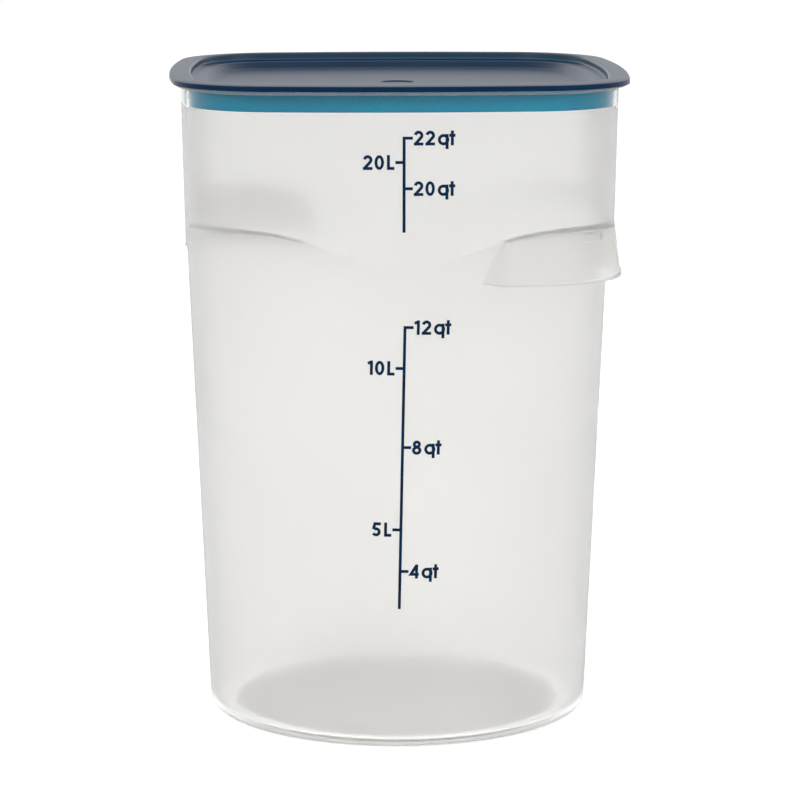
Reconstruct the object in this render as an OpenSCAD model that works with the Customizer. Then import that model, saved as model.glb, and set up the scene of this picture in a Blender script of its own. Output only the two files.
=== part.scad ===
// Dough proofing container: a translucent tub whose round body opens through a shoulder
// into a rounded-square top, with two pull handles, a plug-in lid and printed volume scales.
// Frame: origin at the middle of the base, +Z up, scales on the front face towards -Y.
// All sizes are in millimetres and degrees.

/* [Round body] */
// Outer radius of the round body, where its side meets the level of the base
base_r = 119.6; // [112:0.1:124]
// Lean of the round side, outwards as it rises
cone_draft = 2.4; // [1.8:0.1:2.6]
// Outer rounding between base and side
base_round = 6; // [3:0.5:10]
// Inner rounding between floor and side
floor_round = 9; // [5:0.5:14]
// Thickness of the container's walls
wall = 2.4; // [1.6:0.1:3.2]
// Thickness of the floor
floor_t = 3.4; // [2.4:0.1:5]
// Radius of the shallow recess under the base
foot_recess_r = 104; // [80:1:108]
// Depth of the recess under the base
foot_recess_d = 0.8; // [0.4:0.1:1.2]
// Radius of the gate dimple in the middle of the floor
floor_gate_r = 4.5; // [3:0.5:8]

/* [Shoulder and square top] */
// Height at which the shoulder starts to curve outwards
shoulder_z = 289.4; // [270:0.2:296]
// Radius of the shoulder's curve
shoulder_r = 29; // [24:0.5:32]
// Height of the container to the top of its rim
body_h = 401.4; // [388:0.2:420]
// Half width of the square top, just under its rim
top_half = 134.9; // [134:0.1:140]
// Radius of the square top's bowed sides
side_r = 730; // [500:5:1200]
// Radius of the square top's corners
corner_r = 55; // [45:0.5:65]
// Lean of the square top's walls, outwards as they rise
top_draft = 1.3; // [0.8:0.1:1.6]
// How far the rim's lip stands out of the wall
lip_reach = 4.2; // [3:0.1:5.5]
// Thickness of the lip at its edge
lip_t = 1.2; // [0.8:0.1:2]
// Height of the hollow curve under the lip
lip_cove = 2; // [1:0.1:4]
// Bevel that leads the lid into the rim
rim_lead = 0.8; // [0.4:0.1:1.2]

/* [Handles] */
// Half width of each handle where it leaves the shoulder
handle_half = 50; // [40:0.5:56]
// Height of the handles' lower edge
handle_z = 285.8; // [278:0.2:292]
// Outward lean of a handle's skirt and ends
handle_draft = 7; // [4:0.5:9]
// Thickness of a handle's skirt and ends
handle_t = 2.2; // [1.6:0.1:3]
// Height of the bead along a handle's lower edge
bead_h = 2; // [1.2:0.1:3]
// How far the bead stands out of the skirt
bead_out = 0.8; // [0.4:0.1:1.4]
// Length of the slot in each handle
slot_len = 16.2; // [10:0.2:24]
// Height of the slot
slot_h = 5.2; // [4.2:0.1:5.6]
// Drop from the shoulder's top to the middle of the slot
slot_drop = 4.9; // [4.4:0.1:6]

/* [Lid] */
// Height of the lid's rim above the container's rim
lid_rise = 3.6; // [3:0.1:5]
// How far the lid's edge stands out of the container's wall
lid_reach = 6.7; // [5.8:0.1:9]
// Height of the lid's flat outer edge
lid_edge = 2.1; // [1.4:0.1:2.6]
// Width of the lid's rim, from its edge to the recess
lid_rim_w = 13.3; // [12.6:0.1:15]
// Drop from the rim to the ledge in the recess
ledge_drop = 4.8; // [3.8:0.1:5.2]
// Width of the ledge
ledge_w = 9.5; // [6:0.5:14]
// Drop from the rim to the middle panel
panel_drop = 9; // [8:0.1:11]
// Width of the slope between ledge and panel
slope_w = 7; // [4:0.5:10]
// Thickness of the lid's sheet
lid_t = 2.2; // [1.6:0.1:2.6]
// Depth of the plug ring below the container's rim
plug_depth = 12.7; // [11:0.1:18]
// Thickness of the plug ring
plug_t = 2.2; // [1.6:0.1:3]
// Clearance all round between plug ring and wall
plug_gap = 0.3; // [0.2:0.05:0.6]
// Radius of the round gate dimple in the middle of the panel
lid_gate_r = 10; // [6:0.5:14]
// Depth of the lid's gate dimple
lid_gate_d = 0.8; // [0.4:0.1:1.2]

/* [Printed scales] */
// Thickness of the ink
ink_t = 0.2; // [0.1:0.05:0.4]
// Width of the printed lines and of the strokes of the figures
stroke = 1.75; // [1:0.05:2]
// Height of the figures
figure_h = 8.7; // [7:0.1:10]
// Width of a figure
figure_w = 5.6; // [5:0.1:6.4]
// Space between figures
figure_gap = 1.2; // [0.8:0.1:1.6]
// Height of the small letters
letter_h = 6.7; // [5.6:0.1:7.2]
// Length of a tick, from the middle of the line
tick_len = 5.1; // [4:0.1:7]
// Space between a tick and its label
label_gap = 0.6; // [0.4:0.1:1.2]
// Distance of the upper line to the left of the middle
line_offset = 0.7; // [0:0.1:3]
// Depth of the 22 quart mark below the rim
drop_22qt = 27.4; // [22:0.1:32]
// Depth of the 20 litre mark below the rim
drop_20l = 41.7; // [40:0.1:43]
// Depth of the 20 quart mark below the rim
drop_20qt = 57.2; // [55:0.1:60]
// Space between the upper line's foot and the shoulder
line_foot = 1; // [0.5:0.1:6]
// Height of the 12 quart mark above the base
mark_12qt = 261.3; // [250:0.1:264]
// Height of the 10 litre mark above the base
mark_10l = 236.5; // [228:0.1:242]
// Height of the 8 quart mark above the base
mark_8qt = 188.3; // [170:0.1:200]
// Height of the 5 litre mark above the base
mark_5l = 137.5; // [130:0.1:150]
// Height of the 4 quart mark above the base
mark_4qt = 111.7; // [100:0.1:118]
// Height of the lower line's foot above the base
scale_foot = 88.2; // [60:0.1:96]
// Tilt of the lower print, clockwise from the front
print_tilt = 1.03; // [0:0.05:1.5]

/* [Hidden] */

clear = 1;                            // how far a cutting solid overshoots what it cuts
far_r = 220;                          // a radius beyond every corner
SIDE_STEPS = 6;
CORNER_STEPS = 10;

// Unit vectors of the round side, seen in the plane of radius and height
side_out = [cos(cone_draft), -sin(cone_draft)];
shoulder_c = [base_r + shoulder_z * tan(cone_draft), shoulder_z] + shoulder_r * side_out;
shoulder_top = shoulder_c[1] + shoulder_r;

// Bowed side and corner arcs meet without a kink
bow_x = top_half - side_r;
arc_gap = side_r - corner_r;
corner_c = (bow_x + sqrt(2 * arc_gap * arc_gap - bow_x * bow_x)) / 2;
meet_a = atan2(corner_c, corner_c - bow_x);

lip_z = body_h - lip_t - lip_cove;    // where the wall turns into the lip
skirt_h = shoulder_top - handle_z;

function ray(a, r) = [r * cos(a), r * sin(a)];
function turn(p, a) = [p[0] * cos(a) - p[1] * sin(a), p[0] * sin(a) + p[1] * cos(a)];
function sum_to(v, n) = n <= 0 ? 0 : v[n - 1] + sum_to(v, n - 1);

// How far the drafted wall lies outside top_half at a height
function wall_grow(z) = (z - lip_z) * tan(top_draft);

// Outline of the square top, grown outwards all round
function outline(grow) = [
    for (q = [0:3])
        each concat(
            [for (i = [0:SIDE_STEPS - 1])
                turn([bow_x, 0] + ray(meet_a * (2 * i / SIDE_STEPS - 1), side_r + grow), 90 * q)],
            [for (i = [0:CORNER_STEPS - 1])
                turn([corner_c, corner_c]
                     + ray(meet_a + (90 - 2 * meet_a) * i / CORNER_STEPS, corner_r + grow), 90 * q)])
];

// Solid through outlines at levels of [height, grow], closed flat at its first and last
module loft(levels) {
    rings = [for (l = levels) [for (p = outline(l[1])) [p[0], p[1], l[0]]]];
    n = len(rings[0]);
    last = len(levels) - 1;
    polyhedron(
        points = [for (r = rings) each r],
        faces = concat(
            [[for (i = [0:n - 1]) i]],
            [for (k = [0:last - 1]) for (i = [0:n - 1])
                [k * n + i, (k + 1) * n + i, (k + 1) * n + (i + 1) % n, k * n + (i + 1) % n]],
            [[for (i = [n - 1:-1:0]) last * n + i]]),
        convexity = 6);
}

// Round section of the body, inset from its outer face
function round_section(inset, floor_z, radius, steps) =
    let (foot_c = [base_r + ((floor_z + radius) * sin(cone_draft) - inset - radius)
                   / cos(cone_draft), floor_z + radius])
    concat(
        [[0, floor_z]],
        [for (i = [0:steps])
            foot_c + ray(-90 + (90 - cone_draft) * i / steps, radius)],
        [for (i = [0:steps])
            shoulder_c + ray(180 - cone_draft - (90 - cone_draft) * i / steps,
                             shoulder_r + inset)],
        [[far_r, shoulder_top + inset], [far_r, body_h + clear], [0, body_h + clear]]);

module outer_form() {
    intersection() {
        rotate_extrude($fn = 144) polygon(round_section(0, 0, base_round, 9));
        loft(concat(
            [[-clear, wall_grow(-clear)]],
            [for (i = [0:4])
                [lip_z + lip_cove * sin(22.5 * i), lip_reach * (1 - cos(22.5 * i))]],
            [[body_h, lip_reach]]));
    }
}

module inner_form() {
    intersection() {
        rotate_extrude($fn = 144) polygon(round_section(wall, floor_t, floor_round, 9));
        loft([[0, wall_grow(0) - wall],
              [body_h - rim_lead, wall_grow(body_h - rim_lead) - wall],
              [body_h, wall_grow(body_h) - wall + rim_lead],
              [body_h + clear, wall_grow(body_h) - wall + rim_lead + clear]]);
    }
}

// Block across the front-right corner, leaning outwards as it falls
module handle_block(inset, low, bead) {
    lean = tan(handle_draft);
    top = shoulder_top - clear / 4;
    profile = [[low, (shoulder_top - low) * lean + bead],
               [handle_z + bead_h * 0.6, (shoulder_top - handle_z - bead_h * 0.6) * lean + bead],
               [handle_z + bead_h, (shoulder_top - handle_z - bead_h) * lean],
               [top, (shoulder_top - top) * lean]];
    intersection() {
        loft([for (p = profile) [p[0], wall_grow(shoulder_top) + p[1] - inset]]);
        rotate([0, 0, -45]) rotate([90, 0, 90])
            linear_extrude(height = far_r)
                polygon(concat([for (p = profile) [handle_half + p[1] - inset, p[0]]],
                               [for (i = [3:-1:0])
                                   [inset - handle_half - profile[i][1], profile[i][0]]]));
    }
}

module handle_hollow() {
    difference() {
        handle_block(handle_t, handle_z - clear, 0);
        outer_form();
    }
}

module handle_slot() {
    span = slot_len - slot_h;
    translate([0, 0, shoulder_top - slot_drop])
        rotate([0, 0, -45]) rotate([90, 0, 90])
            translate([0, 0, corner_c])
                linear_extrude(height = far_r) {
                    square([span, slot_h], center = true);
                    for (s = [-1, 1])
                        translate([s * span / 2, 0]) circle(d = slot_h, $fn = 48);
                }
}

module container_body() {
    color([0.88, 0.88, 0.86, 0.45])
    difference() {
        union() {
            outer_form();
            for (a = [0, 180]) rotate([0, 0, a]) handle_block(0, handle_z, bead_out);
        }
        inner_form();
        for (a = [0, 180]) rotate([0, 0, a]) {
            handle_hollow();
            difference() {
                handle_slot();
                outer_form();
            }
        }
        translate([0, 0, -clear]) cylinder(r = foot_recess_r, h = clear + foot_recess_d, $fn = 144);
        translate([0, 0, floor_t - foot_recess_d / 2])
            cylinder(r = floor_gate_r, h = clear, $fn = 48);
    }
}

module lid() {
    top = body_h + lid_rise;
    plug = -wall - plug_gap;
    plug_z = body_h - plug_depth;
    recess = lid_reach - lid_rim_w;
    ledge = recess - ledge_w;
    panel = ledge - slope_w;
    ledge_z = top - ledge_drop;
    panel_z = top - panel_drop;
    chamfer = plug_t / 4;
    color([0.03, 0.16, 0.30, 0.92])
    difference() {
        loft([[panel_z - lid_t, panel - lid_t / 2],
              [ledge_z - lid_t, ledge - lid_t / 2],
              [ledge_z - lid_t, wall_grow(plug_z) + plug - plug_t],
              [plug_z + chamfer, wall_grow(plug_z) + plug - plug_t],
              [plug_z, wall_grow(plug_z) + plug - plug_t + chamfer],
              [plug_z, wall_grow(plug_z) + plug - chamfer],
              [plug_z + chamfer, wall_grow(plug_z + chamfer) + plug],
              [body_h, wall_grow(body_h) + plug],
              [body_h, lid_reach],
              [body_h + lid_edge, lid_reach],
              [body_h + lid_edge + 0.6 * (lid_rise - lid_edge), lid_reach - 0.7],
              [top - 0.1 * (lid_rise - lid_edge), lid_reach - 5],
              [top, recess + 1.9],
              [top - 0.3, recess + 0.7],
              [top - 1, recess],
              [ledge_z + 0.6, recess - 0.3],
              [ledge_z, recess - 0.9],
              [ledge_z, ledge],
              [ledge_z - 0.3, ledge - 0.9],
              [panel_z + 0.4, panel + 1],
              [panel_z, panel]]);
        translate([0, 0, panel_z - lid_gate_d]) cylinder(r = lid_gate_r, h = clear + lid_gate_d, $fn = 96);
    }
}

// Figures: each is drawn with its lower left corner at the origin
function arc(c, rx, ry, from, to, steps) =
    [for (i = [0:steps]) let (a = from + (to - from) * i / steps)
        [c[0] + rx * cos(a), c[1] + ry * sin(a)]];

// Side step of a ribbon at point i of a path, square to the path
function ribbon_step(path, i) =
    let (a = path[max(i - 1, 0)], b = path[i], c = path[min(i + 1, len(path) - 1)],
         u = i == 0 ? (c - b) / norm(c - b) : (b - a) / norm(b - a),
         v = i == len(path) - 1 ? u : (c - b) / norm(c - b),
         m = [-(u + v)[1], (u + v)[0]])
    m * stroke / (norm(m) * norm(m));

module ribbon(path) {
    n = len(path);
    polygon(concat([for (i = [0:n - 1]) path[i] + ribbon_step(path, i)],
                   [for (i = [n - 1:-1:0]) path[i] - ribbon_step(path, i)]));
}

module ring(c, rx, ry) {
    difference() {
        polygon(arc(c, rx, ry, 0, 345, 23));
        polygon(arc(c, rx - stroke, ry - stroke, 0, 345, 23));
    }
}

function glyph_w(ch) =
    ch == "1" ? figure_w * 0.55 :
    ch == "L" ? figure_w * 0.78 :
    ch == "q" ? letter_h * 0.94 :
    ch == "t" ? letter_h * 0.55 : figure_w;

module glyph(ch) {
    h = figure_h;
    w = glyph_w(ch);
    s = stroke / 2;
    if (ch == "0") ring([w / 2, h / 2], w / 2, h / 2);
    if (ch == "1") {
        ribbon([[w - s, 0], [w - s, h]]);
        ribbon([[0, h - stroke], [w - s, h - s]]);
    }
    if (ch == "2") {
        r = w / 2 - s;
        ribbon(concat(arc([w / 2, h - s - r], r, r, 170, -30, 10), [[s, s]]));
        square([w, stroke]);
    }
    if (ch == "4") {
        ribbon([[w * 0.72, h - s], [s, h * 0.3], [w, h * 0.3]]);
        ribbon([[w * 0.76, 0], [w * 0.76, h]]);
    }
    if (ch == "5") {
        r = w / 2 - s;
        ribbon([[w * 0.94, h - s], [w * 0.3, h - s], [w * 0.16, h * 0.5]]);
        ribbon(arc([w / 2 - s * 0.4, s + r], r, r, 125, -150, 12));
    }
    if (ch == "8") {
        ring([w / 2, h * 0.73], w * 0.43, h * 0.27);
        ring([w / 2, h * 0.31], w * 0.5, h * 0.31);
    }
    if (ch == "L") {
        square([stroke, h]);
        square([w, stroke]);
    }
    if (ch == "q") {
        r = letter_h / 2;
        ring([r, r], r, r);
        translate([w - stroke, -letter_h * 0.32]) square([stroke, letter_h * 1.32]);
    }
    if (ch == "t") {
        translate([w / 2 - s, 0]) square([stroke, h]);
        translate([0, letter_h - stroke * 0.95]) square([w, stroke]);
    }
}

// Width of a label's first n figures, with the gaps after them
function label_x(word, n) =
    sum_to([for (c = word) glyph_w(c) + figure_gap], n)
    + (n > 0 && (word[n] == "q" || word[n] == "L") ? figure_gap * 0.4 : 0)
    - (word[n] == "t" ? figure_gap * 0.3 : 0);

module label(word) {
    for (i = [0:len(word) - 1])
        translate([label_x(word, i), -figure_h / 2]) glyph(word[i]);
}

// One mark of a scale: quarts to the right of the line and litres to its left
module mark(z, word) {
    left = word[len(word) - 1] == "L";
    width = label_x(word, len(word) - 1) + glyph_w("L");
    translate([0, z]) {
        translate([left ? -tick_len : 0, -stroke / 2]) square([tick_len, stroke]);
        translate([left ? -tick_len - label_gap - width : tick_len + label_gap, 0]) label(word);
    }
}

module scale_line(low, high) {
    translate([-stroke / 2, low]) square([stroke, high - low + stroke / 2]);
}

module upper_scale_print() {
    color([0.05, 0.22, 0.33])
    difference() {
        intersection() {
            loft([[shoulder_top, wall_grow(shoulder_top) + ink_t], [lip_z, ink_t]]);
            translate([-line_offset, 0, 0]) rotate([90, 0, 0]) linear_extrude(height = far_r) {
                scale_line(shoulder_top + line_foot, body_h - drop_22qt);
                mark(body_h - drop_22qt, "22qt");
                mark(body_h - drop_20l, "20L");
                mark(body_h - drop_20qt, "20qt");
            }
        }
        loft([[shoulder_top - clear, wall_grow(shoulder_top - clear)],
              [lip_z + clear, wall_grow(lip_z + clear)]]);
    }
}

module lower_scale_print() {
    band = [scale_foot - figure_h, mark_12qt + figure_h];
    side = [for (z = band) base_r + z * tan(cone_draft)];
    color([0.05, 0.22, 0.33])
    difference() {
        intersection() {
            rotate_extrude($fn = 144)
                polygon([[0, band[0]], [side[0] + ink_t, band[0]],
                         [side[1] + ink_t, band[1]], [0, band[1]]]);
            loft([for (z = band) [z, wall_grow(z) + ink_t]]);
            rotate([90, 0, 0]) linear_extrude(height = far_r)
                translate([0, mark_12qt]) rotate(-print_tilt) translate([0, -mark_12qt]) {
                    scale_line(scale_foot, mark_12qt);
                    mark(mark_12qt, "12qt");
                    mark(mark_10l, "10L");
                    mark(mark_8qt, "8qt");
                    mark(mark_5l, "5L");
                    mark(mark_4qt, "4qt");
                }
        }
        outer_form();
    }
}

container_body();
lid();
upper_scale_print();
lower_scale_print();
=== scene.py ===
import math

import bmesh
import bpy
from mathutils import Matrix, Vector


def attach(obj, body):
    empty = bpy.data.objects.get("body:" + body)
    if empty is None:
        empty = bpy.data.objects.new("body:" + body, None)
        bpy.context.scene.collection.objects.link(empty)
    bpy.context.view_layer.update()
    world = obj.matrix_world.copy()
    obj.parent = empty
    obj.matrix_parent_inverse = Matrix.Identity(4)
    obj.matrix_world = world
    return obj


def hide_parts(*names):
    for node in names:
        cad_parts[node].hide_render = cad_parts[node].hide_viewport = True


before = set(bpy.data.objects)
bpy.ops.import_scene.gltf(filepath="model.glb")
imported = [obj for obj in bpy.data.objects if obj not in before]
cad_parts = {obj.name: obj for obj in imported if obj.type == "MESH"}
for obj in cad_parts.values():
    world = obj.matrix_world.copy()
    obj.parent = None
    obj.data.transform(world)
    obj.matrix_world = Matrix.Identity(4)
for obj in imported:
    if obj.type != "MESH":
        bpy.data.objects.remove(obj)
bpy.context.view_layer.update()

# Sizes in millimetres, as in the part's source; MM turns them into metres
MM = 0.001
BASE_R, CONE_DRAFT, BASE_ROUND, FLOOR_ROUND = 119.6, math.radians(2.4), 6.0, 9.0
WALL, FLOOR_T, FOOT_R, FOOT_D, GATE_R = 2.4, 3.4, 104.0, 0.8, 4.5
FOOT_LEAD, GATE_LEAD = 0.8, 0.4       # slope of the foot's edge and of the floor's gate mark
SHOULDER_Z, SHOULDER_R, BODY_H = 289.4, 29.0, 401.4
TOP_HALF, SIDE_R, CORNER_R, TOP_DRAFT = 134.9, 730.0, 55.0, math.radians(1.3)
LIP_REACH, LIP_T, LIP_COVE, RIM_LEAD, LIP_EDGE = 4.2, 1.2, 2.0, 0.8, 0.25
HANDLE_HALF, HANDLE_Z, HANDLE_DRAFT, HANDLE_T = 50.0, 285.8, math.radians(7), 2.2
HANDLE_SOFT, HANDLE_DROP = 4.0, 1.0   # rounding of its corners, and its top below the shoulder's
WEB_START, CORE_OVER = 118.0, 1.0     # where its ends begin, and the core's height over the rim
SKIRT_GUESS, SKIRT_TRIES = 150.0, 12  # start and number of tries in finding its skirt's outline
BEAD_H, BEAD_OUT, SLOT_LEN, SLOT_H, SLOT_DROP = 2.0, 0.8, 16.2, 5.2, 4.9
SLOT_FROM, SLOT_TO = 157.5, 185.0     # reach of the slot's cutter, along the corner's diagonal
LID_RISE, LID_REACH, LID_EDGE, LID_RIM_W = 3.6, 6.7, 2.1, 13.3
LEDGE_DROP, LEDGE_W, PANEL_DROP, SLOPE_W, LID_T = 4.8, 9.5, 9.0, 7.0, 2.2
PLUG_DEPTH, PLUG_T, PLUG_GAP, LID_GATE_R, LID_GATE_D = 12.7, 2.2, 0.3, 10.0, 0.8
PANEL_FLAT, PANEL_R = 12.0, 40.0      # the panel's square edge, and the round it closes to
LID_LEAD, CROWN_NEAR, CROWN_FAR = 0.2, 0.7, 5.0         # the rim's lower edge, and its crown
RECESS_LEAD, RECESS_DROP, RECESS_LEAN = 1.6, 0.8, 0.4   # the recess's upper edge and its draft
TOP_SOFT, UNDER_SOFT = 1.6, 0.6       # rounding of the lid's corners, above and below
PLUG_FACES, RECESS_BAND, RECESS_BELOW = -9.0, 1.3, 0.9  # limits of the lid's painted light, teal and deep blue
BODY_CREASE, LID_CREASE = 32, 40      # degrees from which an edge stays sharp
ZONE_Z, ZONE_H = 370.0, 40.0          # the height over which the wall changes near the plug ring

# Columns round the axis, and steps along each stretch of a profile
COLUMNS, FILLET_STEPS, ARC_STEPS, WALL_STEPS, COVE_STEPS = 288, 8, 16, 12, 4
HANDLE_STEPS, HANDLE_LEVELS, SLOT_STEPS, ROUND_STEPS = 40, 6, 12, 4

LIP_Z = BODY_H - LIP_T - LIP_COVE
SHOULDER_CR = BASE_R + SHOULDER_Z * math.tan(CONE_DRAFT) + SHOULDER_R * math.cos(CONE_DRAFT)
SHOULDER_CZ = SHOULDER_Z - SHOULDER_R * math.sin(CONE_DRAFT)
SHOULDER_TOP = SHOULDER_CZ + SHOULDER_R

# Bowed sides and corner arcs of the square outline meet without a kink
BOW_X = TOP_HALF - SIDE_R
CORNER_C = (BOW_X + math.sqrt(2 * (SIDE_R - CORNER_R) ** 2 - BOW_X ** 2)) / 2
MEET = math.atan2(CORNER_C, CORNER_C - BOW_X)


def wall_grow(z):
    """How much the wall's draft grows the square outline at a height; nothing at the rim's foot."""
    return (z - LIP_Z) * math.tan(TOP_DRAFT)


def square_r(theta, grow):
    """Distance from the axis to the square outline, grown all round, at a polar angle."""
    a = (theta + math.pi / 4) % (math.pi / 2) - math.pi / 4
    side = SIDE_R + grow
    meet = math.atan2(side * math.sin(MEET), BOW_X + side * math.cos(MEET))
    if abs(a) <= meet:
        return BOW_X * math.cos(a) + math.sqrt(side ** 2 - (BOW_X * math.sin(a)) ** 2)
    b, far = math.pi / 4 - abs(a), CORNER_C * math.sqrt(2)
    return far * math.cos(b) + math.sqrt((CORNER_R + grow) ** 2 - (far * math.sin(b)) ** 2)


def arc_end(theta, inset):
    """Angle on the shoulder's curve where it reaches the square wall."""
    low, high = math.pi / 2, math.pi - CONE_DRAFT
    radius = SHOULDER_R + inset
    for _ in range(30):
        mid = (low + high) / 2
        r = SHOULDER_CR + radius * math.cos(mid)
        z = SHOULDER_CZ + radius * math.sin(mid)
        low, high = (mid, high) if r > square_r(theta, wall_grow(z) - inset) else (low, mid)
    return high


def round_side(theta, inset, floor_z, radius):
    """Profile from the floor's edge up the round side and the shoulder to the square wall."""
    cr = BASE_R + ((floor_z + radius) * math.sin(CONE_DRAFT) - inset - radius) / math.cos(CONE_DRAFT)
    points = []
    for i in range(FILLET_STEPS + 1):
        a = -math.pi / 2 + (math.pi / 2 - CONE_DRAFT) * i / FILLET_STEPS
        points.append((cr + radius * math.cos(a), floor_z + radius + radius * math.sin(a)))
    first, end = math.pi - CONE_DRAFT, arc_end(theta, inset)
    arc = [first + (end - first) * i / ARC_STEPS for i in range(ARC_STEPS + 1)]
    curve = [(SHOULDER_CR + (SHOULDER_R + inset) * math.cos(a),
              SHOULDER_CZ + (SHOULDER_R + inset) * math.sin(a)) for a in arc]
    (r0, z0), (r1, z1) = points[-1], curve[0]
    points += [(r0 + (r1 - r0) * i / WALL_STEPS, z0 + (z1 - z0) * i / WALL_STEPS)
               for i in range(1, WALL_STEPS)]
    return points + curve


def body_profile(theta):
    """The tub's section at a polar angle: foot, outside, rim, inside and the floor's gate mark."""
    def wall(z, inset=0.0):
        return (square_r(theta, wall_grow(z) - inset), z)

    outer = round_side(theta, 0, 0, BASE_ROUND)
    z0 = outer[-1][1]
    outer += [wall(z0 + (LIP_Z - z0) * i / WALL_STEPS) for i in range(1, WALL_STEPS)]
    for i in range(COVE_STEPS + 1):
        a = math.pi / 2 / COVE_STEPS * i
        outer.append((square_r(theta, LIP_REACH * (1 - math.cos(a))), LIP_Z + LIP_COVE * math.sin(a)))
    outer += [(square_r(theta, LIP_REACH), BODY_H - LIP_EDGE),
              (square_r(theta, LIP_REACH - LIP_EDGE), BODY_H)]
    inner = round_side(theta, WALL, FLOOR_T, FLOOR_ROUND)
    z1 = inner[-1][1]
    lead = BODY_H - RIM_LEAD
    inner += [wall(z1 + (lead - z1) * i / WALL_STEPS, WALL) for i in range(1, WALL_STEPS + 1)]
    inner.append((square_r(theta, wall_grow(BODY_H) - WALL + RIM_LEAD), BODY_H))
    foot = [(FOOT_R - FOOT_LEAD, FOOT_D), (FOOT_R, 0.0)]
    gate = [(GATE_R + GATE_LEAD, FLOOR_T), (GATE_R, FLOOR_T - FOOT_D / 2)]
    return foot + outer + inner[::-1] + gate


def core_profile(theta):
    """Everything inside the middle of the wall: what a handle's ends must not reach."""
    side = round_side(theta, WALL / 2, FLOOR_T, FLOOR_ROUND)
    z1, top = side[-1][1], BODY_H + CORE_OVER
    return side + [(square_r(theta, wall_grow(z) - WALL / 2), z)
                   for z in (z1 + (top - z1) / 2, top)]


def mesh_object(name, verts, faces):
    """New object from points in millimetres."""
    mesh = bpy.data.meshes.new(name)
    mesh.from_pydata([(x * MM, y * MM, z * MM) for x, y, z in verts], [], faces)
    obj = bpy.data.objects.new(name, mesh)
    bpy.context.collection.objects.link(obj)
    return obj


def outward(obj):
    """Turns every face outwards."""
    bm = bmesh.new()
    bm.from_mesh(obj.data)
    bmesh.ops.recalc_face_normals(bm, faces=bm.faces)
    bm.to_mesh(obj.data)
    bm.free()


def turned(name, profile_at):
    """Closed mesh from one profile per column; its first and last points are joined at the axis."""
    verts, faces = [], []
    profiles = [profile_at(2 * math.pi * i / COLUMNS) for i in range(COLUMNS)]
    rows = len(profiles[0])
    for i, profile in enumerate(profiles):
        a = 2 * math.pi * i / COLUMNS
        verts += [(r * math.cos(a), r * math.sin(a), z) for r, z in profile]
    for i in range(COLUMNS):
        j = (i + 1) % COLUMNS
        faces += [(i * rows + k, j * rows + k, j * rows + k + 1, i * rows + k + 1)
                  for k in range(rows - 1)]
    for k, first in ((0, True), (rows - 1, False)):
        verts.append((0, 0, profiles[0][k][1]))
        pole = len(verts) - 1
        for i in range(COLUMNS):
            tri = (i * rows + k, pole, (i + 1) % COLUMNS * rows + k)
            faces.append(tri[::-1] if first else tri)
    obj = mesh_object(name, verts, faces)
    obj.data.validate()
    outward(obj)
    return obj


def smooth(obj, degrees):
    """Smooth shading, with edges sharper than an angle left as they are."""
    outward(obj)
    bpy.context.view_layer.objects.active = obj
    obj.select_set(True)
    bpy.ops.object.shade_smooth_by_angle(angle=math.radians(degrees))
    obj.select_set(False)


def boolean(obj, tool, operation):
    """Joins the tool to an object or cuts it out, and removes the tool."""
    modifier = obj.modifiers.new("cut", "BOOLEAN")
    modifier.operation, modifier.solver, modifier.object = operation, "EXACT", tool
    bpy.context.view_layer.objects.active = obj
    bpy.ops.object.modifier_apply(modifier=modifier.name)
    bpy.data.objects.remove(tool)


def across_corner(u, v, z, turn):
    """Point at u along and v out of the diagonal of the front right corner, turned about the axis."""
    a = turn - math.pi / 4
    return (v * math.cos(a) - u * math.sin(a), v * math.sin(a) + u * math.cos(a), z)


def handle_ring(z, inset, bead):
    """Plan outline of a handle at a height, in (u, v): along and out of the corner's diagonal."""
    lean = (SHOULDER_TOP - z) * math.tan(HANDLE_DRAFT) + bead - inset
    half, soft = HANDLE_HALF + lean, HANDLE_SOFT
    skirt = []
    for i in range(HANDLE_STEPS + 1):
        u = (half - soft) * (2 * i / HANDLE_STEPS - 1)
        v = SKIRT_GUESS
        for _ in range(SKIRT_TRIES):
            theta = math.atan2(u, v) + math.pi / 4
            v = math.sqrt(max(square_r(theta, wall_grow(SHOULDER_TOP) + lean) ** 2 - u * u, 1))
        skirt.append((u, v))
    slope = (skirt[1][1] - skirt[0][1]) / (skirt[1][0] - skirt[0][0])
    v_side = skirt[0][1] - slope * soft - soft * 0.5
    left = [(-half, WEB_START), (-half, v_side - soft), (-half + 0.12 * soft, v_side + 0.1 * soft),
            (-half + 0.45 * soft, skirt[0][1] - 0.5 * soft * slope)]
    return left + skirt + [(-u, v) for u, v in left[::-1]]


def handle(turn):
    """One handle's skirt and two ends, as one closed band."""
    levels = [(HANDLE_Z, BEAD_OUT), (HANDLE_Z + BEAD_H * 0.6, BEAD_OUT), (HANDLE_Z + BEAD_H, 0.0)]
    rise = SHOULDER_TOP - HANDLE_DROP - HANDLE_Z - BEAD_H
    levels += [(HANDLE_Z + BEAD_H + rise * i / HANDLE_LEVELS, 0.0)
               for i in range(1, HANDLE_LEVELS + 1)]
    rings = [(z, handle_ring(z, 0, bead)) for z, bead in levels]
    rings += [(z, handle_ring(z, HANDLE_T, 0)) for z, _ in levels[::-1]]
    verts = [across_corner(u, v, z, turn) for z, ring in rings for u, v in ring]
    n, total, faces = len(rings[0][1]), len(rings), []
    for k in range(total):
        m = (k + 1) % total
        faces += [(k * n + i, k * n + i + 1, m * n + i + 1, m * n + i) for i in range(n - 1)]
    faces.append([k * n for k in range(total)])
    faces.append([k * n + n - 1 for k in range(total)][::-1])
    obj = mesh_object("grip", verts, faces)
    outward(obj)
    return obj


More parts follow.
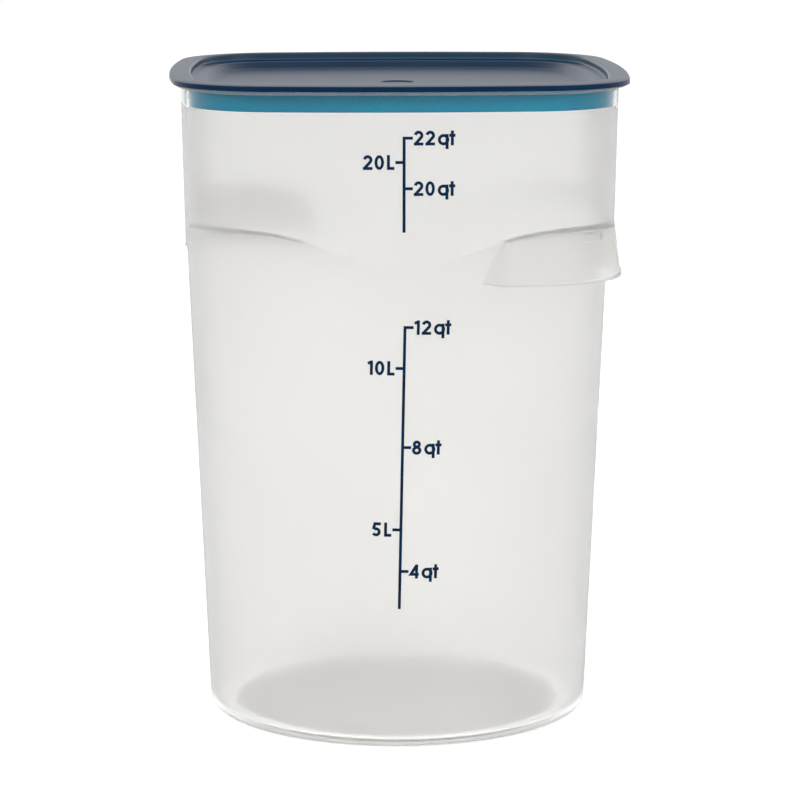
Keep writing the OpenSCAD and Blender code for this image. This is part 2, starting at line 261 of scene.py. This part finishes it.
def slot_cutter(turn):
    """Block with round ends that cuts the slot through a handle's skirt."""
    span, radius = (SLOT_LEN - SLOT_H) / 2, SLOT_H / 2
    outline = [(span + radius * math.cos(a), radius * math.sin(a))
               for a in [math.pi * (i / SLOT_STEPS - 0.5) for i in range(SLOT_STEPS + 1)]]
    outline += [(-u, -w) for u, w in outline]
    z0, n = SHOULDER_TOP - SLOT_DROP, len(outline)
    verts = [across_corner(u, v, z0 + w, turn) for v in (SLOT_FROM, SLOT_TO) for u, w in outline]
    faces = [(i, (i + 1) % n, n + (i + 1) % n, n + i) for i in range(n)]
    faces += [list(range(n))[::-1], list(range(n, 2 * n))]
    obj = mesh_object("slot_cutter", verts, faces)
    outward(obj)
    return obj


def rounded(points, radius):
    """Rounds each corner between an open profile's ends, over less than half of either edge."""
    out = [points[0]]
    for (ax, ay), (bx, by), (cx, cy) in zip(points, points[1:], points[2:]):
        la, lc = math.hypot(ax - bx, ay - by), math.hypot(cx - bx, cy - by)
        r = min(radius, 0.45 * la, 0.45 * lc)
        p = (bx + (ax - bx) / la * r, by + (ay - by) / la * r)
        q = (bx + (cx - bx) / lc * r, by + (cy - by) / lc * r)
        for i in range(ROUND_STEPS + 1):
            t = i / ROUND_STEPS
            out.append(tuple((1 - t) ** 2 * p[k] + 2 * t * (1 - t) * (bx, by)[k] + t * t * q[k]
                             for k in (0, 1)))
    return out + [points[-1]]


def lid_sections():
    """The lid's underside and top, as (offset from the wall's outline, height), and its gate."""
    top = BODY_H + LID_RISE
    plug, plug_z = -WALL - PLUG_GAP, BODY_H - PLUG_DEPTH
    recess = LID_REACH - LID_RIM_W
    ledge = recess - LEDGE_W
    panel = ledge - SLOPE_W
    ledge_z, panel_z = top - LEDGE_DROP, top - PANEL_DROP
    crown = LID_RISE - LID_EDGE
    upper = rounded([(LID_REACH, BODY_H + LID_LEAD), (LID_REACH, BODY_H + LID_EDGE),
                     (LID_REACH - CROWN_NEAR, BODY_H + LID_EDGE + 0.6 * crown),
                     (LID_REACH - CROWN_FAR, top - 0.1 * crown), (recess + RECESS_LEAD, top),
                     (recess, top - RECESS_DROP), (recess - RECESS_LEAN, ledge_z),
                     (ledge, ledge_z), (panel, panel_z), (panel - PANEL_FLAT, panel_z)], TOP_SOFT)
    plug_in = wall_grow(plug_z) + plug - PLUG_T
    lower = rounded([(panel - PANEL_FLAT, panel_z - LID_T), (panel - LID_T / 2, panel_z - LID_T),
                     (ledge - LID_T / 2, ledge_z - LID_T), (plug_in, ledge_z - LID_T),
                     (plug_in, plug_z), (wall_grow(plug_z) + plug, plug_z),
                     (wall_grow(BODY_H) + plug, BODY_H), (LID_REACH - LID_LEAD, BODY_H)], UNDER_SOFT)
    gate = [(LID_GATE_R * 1.06, panel_z), (LID_GATE_R, panel_z - LID_GATE_D * 0.7),
            (LID_GATE_R * 0.9, panel_z - LID_GATE_D)]
    return lower, upper, gate, panel_z


def lid_profile(theta):
    """The lid's section at a polar angle, from the axis out along its underside and back."""
    lower, upper, gate, panel_z = lid_sections()
    square = [(square_r(theta, grow), z) for grow, z in lower + upper]
    return [(PANEL_R, panel_z - LID_T)] + square + [(PANEL_R, panel_z)] + gate


def new_material(name, dark, light, patches, **sockets):
    """Material whose colour drifts between two shades, with constants on the shader's sockets."""
    mat = bpy.data.materials.new(name)
    mat.use_nodes = True
    nodes, links = mat.node_tree.nodes, mat.node_tree.links
    shader = nodes["Principled BSDF"]
    coords = nodes.new("ShaderNodeTexCoord")
    noise = nodes.new("ShaderNodeTexNoise")
    noise.inputs["Scale"].default_value = patches
    noise.inputs["Detail"].default_value = 3
    links.new(coords.outputs["Object"], noise.inputs["Vector"])
    ramp = nodes.new("ShaderNodeValToRGB")
    for element, position, colour in zip(ramp.color_ramp.elements, (0.35, 0.65), (dark, light)):
        element.position, element.color = position, (*colour, 1)
    links.new(noise.outputs["Fac"], ramp.inputs["Fac"])
    links.new(ramp.outputs["Color"], shader.inputs["Base Color"])
    for socket, value in sockets.items():
        shader.inputs[socket.replace("_", " ")].default_value = value
    return mat, nodes, links, shader, coords


def grain_bump(nodes, links, coords, shader, scale, strength):
    """The fine grain of a moulded surface."""
    noise = nodes.new("ShaderNodeTexNoise")
    noise.inputs["Scale"].default_value = scale
    links.new(coords.outputs["Object"], noise.inputs["Vector"])
    bump = nodes.new("ShaderNodeBump")
    bump.inputs["Strength"].default_value = strength
    bump.inputs["Distance"].default_value = 0.0004
    links.new(noise.outputs["Fac"], bump.inputs["Height"])
    links.new(bump.outputs["Normal"], shader.inputs["Normal"])


def milky_plastic():
    mat, nodes, links, shader, coords = new_material(
        "milky_plastic", (0.935, 0.93, 0.915), (0.96, 0.955, 0.945), 9, IOR=1.15)
    # The plug ring lies against the wall, so the wall looks clearer over it
    low, high = BODY_H - PLUG_DEPTH, LIP_Z + 0.4
    split = nodes.new("ShaderNodeSeparateXYZ")
    links.new(coords.outputs["Object"], split.inputs[0])
    for socket, milky, clear in (("Transmission Weight", 0.84, 1.0), ("Roughness", 0.29, 0.06)):
        zone = nodes.new("ShaderNodeValToRGB")
        stops = zone.color_ramp.elements
        for k, (z, value) in enumerate(((low - 1.2, milky), (low + 0.2, clear),
                                        (high, clear), (high + 0.5, milky))):
            place = (z - ZONE_Z) / ZONE_H
            stop = stops[k] if k < 2 else stops.new(place)
            stop.position, stop.color = place, (value,) * 3 + (1,)
        span = nodes.new("ShaderNodeMapRange")
        span.inputs["From Min"].default_value = ZONE_Z * MM
        span.inputs["From Max"].default_value = (ZONE_Z + ZONE_H) * MM
        links.new(split.outputs["Z"], span.inputs["Value"])
        links.new(span.outputs[0], zone.inputs["Fac"])
        links.new(zone.outputs["Color"], shader.inputs[socket])
    grain_bump(nodes, links, coords, shader, 900, 0.08)
    return mat


def navy_plastic():
    mat, nodes, links, shader, coords = new_material(
        "navy_plastic", (0.0006, 0.018, 0.060), (0.0010, 0.025, 0.075), 12,
        Roughness=0.3, IOR=1.5, Specular_IOR_Level=0.1, Specular_Tint=(0.68, 0.82, 1.0, 1))
    grain_bump(nodes, links, coords, shader, 700, 0.12)
    return mat


def painted_light_plastic(name, dark, light):
    """Lighter copy of the navy with painted light: light comes through the lid where it stands on
    edge, and this lighter colour paints that in, while the plastic also lets half the light through.
    """
    return new_material(name, dark, light, 12, Roughness=0.3, Transmission_Weight=0.5, IOR=1.4)[0]


def seen_rays(nodes, links):
    """1 for rays from the camera and for those that gloss or clear plastic sends on."""
    path = nodes.new("ShaderNodeLightPath")
    last = path.outputs["Is Camera Ray"]
    for kind in ("Is Glossy Ray", "Is Transmission Ray"):
        either = nodes.new("ShaderNodeMath")
        either.operation = "MAXIMUM"
        links.new(last, either.inputs[0])
        links.new(path.outputs[kind], either.inputs[1])
        last = either.outputs[0]
    return last


def lamp(name, place, power, size):
    """Square lamp in metres and watts, aimed at the middle of the object."""
    data = bpy.data.lights.new(name, "AREA")
    data.energy, data.size = power, size
    obj = bpy.data.objects.new(name, data)
    bpy.context.collection.objects.link(obj)
    obj.location = place
    obj.rotation_euler = (Vector((0, 0, 0.2)) - Vector(place)).to_track_quat("-Z", "Y").to_euler()


MILKY, NAVY = milky_plastic(), navy_plastic()
INK = new_material("printed_ink", (0.0015, 0.018, 0.058), (0.003, 0.026, 0.074), 240,
                   Roughness=0.5, Specular_IOR_Level=0.08)[0]
# Painted light: the plug ring in a lighter teal copy of the lid's navy, where light comes through it
PLUG_PAINTED_LIGHT = painted_light_plastic("teal_painted_light", (0.003, 0.34, 0.54), (0.004, 0.40, 0.62))
# Painted light: the recess wall in a lighter deep blue copy of the lid's navy, where it stands on
# edge
RECESS_PAINTED_LIGHT = painted_light_plastic("deep_blue_painted_light", (0.001, 0.055, 0.135), (0.002, 0.075, 0.165))

# The container, with a handle at each of two opposite corners
body = turned("tub", body_profile)
for turn in (0.0, math.pi):
    grip = handle(turn)
    boolean(grip, slot_cutter(turn), "DIFFERENCE")
    boolean(grip, turned("core", core_profile), "DIFFERENCE")
    boolean(body, grip, "UNION")
body.data.materials.clear()
body.data.materials.append(MILKY)
smooth(body, BODY_CREASE)
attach(body, "container")
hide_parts("container_body")

# The lid, with painted light where light comes through it: lighter teal in its plug ring and deep
# blue in the wall of its recess
cover = turned("plug_lid", lid_profile)
for material in (NAVY, PLUG_PAINTED_LIGHT, RECESS_PAINTED_LIGHT):
    cover.data.materials.append(material)
lower_rows, face_rows = len(lid_sections()[0]), len(lid_profile(0)) - 1
recess_wall = LID_REACH - LID_RIM_W
# Faces that get painted light: teal on the underside past the plug's limit, deep blue on the recess
# wall
for face in cover.data.polygons:
    if face.index >= COLUMNS * face_rows:
        continue
    theta, far = math.atan2(face.center.y, face.center.x), face.center.xy.length / MM
    if face.index % face_rows < lower_rows:
        face.material_index = int(far > square_r(theta, PLUG_FACES))
    elif (abs(far - square_r(theta, recess_wall)) < RECESS_BAND
          and face.center.z > (BODY_H - RECESS_BELOW) * MM):
        face.material_index = 2
smooth(cover, LID_CREASE)
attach(cover, "lid")
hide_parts("lid")

for node in ("upper_scale_print", "lower_scale_print"):
    for material_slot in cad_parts[node].material_slots:
        material_slot.material = INK

# White floor that keeps the object's shadow
FLOOR_HALF, FLOOR_GLOW = 6000.0, 0.5
floor = mesh_object("floor", [(-FLOOR_HALF, -FLOOR_HALF, 0), (FLOOR_HALF, -FLOOR_HALF, 0),
                              (FLOOR_HALF, FLOOR_HALF, 0), (-FLOOR_HALF, FLOOR_HALF, 0)],
                    [(0, 1, 2, 3)])
floor_mat = bpy.data.materials.new("floor_white")
floor_mat.use_nodes = True
nodes, links = floor_mat.node_tree.nodes, floor_mat.node_tree.links
floor_shader = nodes["Principled BSDF"]
floor_shader.inputs["Base Color"].default_value = (0.9, 0.9, 0.9, 1)
floor_shader.inputs["Roughness"].default_value = 0.9
floor_shader.inputs["Emission Color"].default_value = (1, 1, 1, 1)
gain = nodes.new("ShaderNodeMath")
gain.operation = "MULTIPLY"
gain.inputs[1].default_value = FLOOR_GLOW
links.new(seen_rays(nodes, links), gain.inputs[0])
links.new(gain.outputs[0], floor_shader.inputs["Emission Strength"])
floor.data.materials.append(floor_mat)

# White surroundings that light the object more gently than they show
SKY_LIGHT, SKY_SHOWN = 0.62, 1.0
world = bpy.context.scene.world or bpy.data.worlds.new("world")
bpy.context.scene.world = world
world.use_nodes = True
nodes, links = world.node_tree.nodes, world.node_tree.links
sky = nodes["Background"]
sky.inputs["Color"].default_value = (1, 1, 1, 1)
level = nodes.new("ShaderNodeMapRange")
level.inputs["To Min"].default_value = SKY_LIGHT
level.inputs["To Max"].default_value = SKY_SHOWN
links.new(seen_rays(nodes, links), level.inputs["Value"])
links.new(level.outputs[0], sky.inputs["Strength"])

lamp("key", (-1.1, -1.5, 1.7), 9.0, 1.2)
lamp("fill", (1.5, -1.0, 1.1), 4.0, 1.2)

# Camera fitted to the photograph, in metres and in pixels of its frame
DISTANCE, HEIGHT, TILT, HEADING = 2.056, 0.5645, math.radians(10.21), math.radians(2.0)
FOCAL_PX, FRAME_PX, CENTRE_PX = 3291, 800, 397.3
camera_data = bpy.data.cameras.new("camera")
camera = bpy.data.objects.new("camera", camera_data)
bpy.context.collection.objects.link(camera)
camera_data.sensor_width = 36
camera_data.lens = FOCAL_PX / FRAME_PX * camera_data.sensor_width
camera_data.shift_x = (FRAME_PX / 2 - CENTRE_PX) / FRAME_PX
camera.location = (-DISTANCE * math.sin(HEADING), -DISTANCE * math.cos(HEADING), HEIGHT)
camera.rotation_euler = (math.pi / 2 - TILT, 0, -HEADING)
bpy.context.scene.camera = camera
bpy.context.scene.view_settings.view_transform = "Standard"
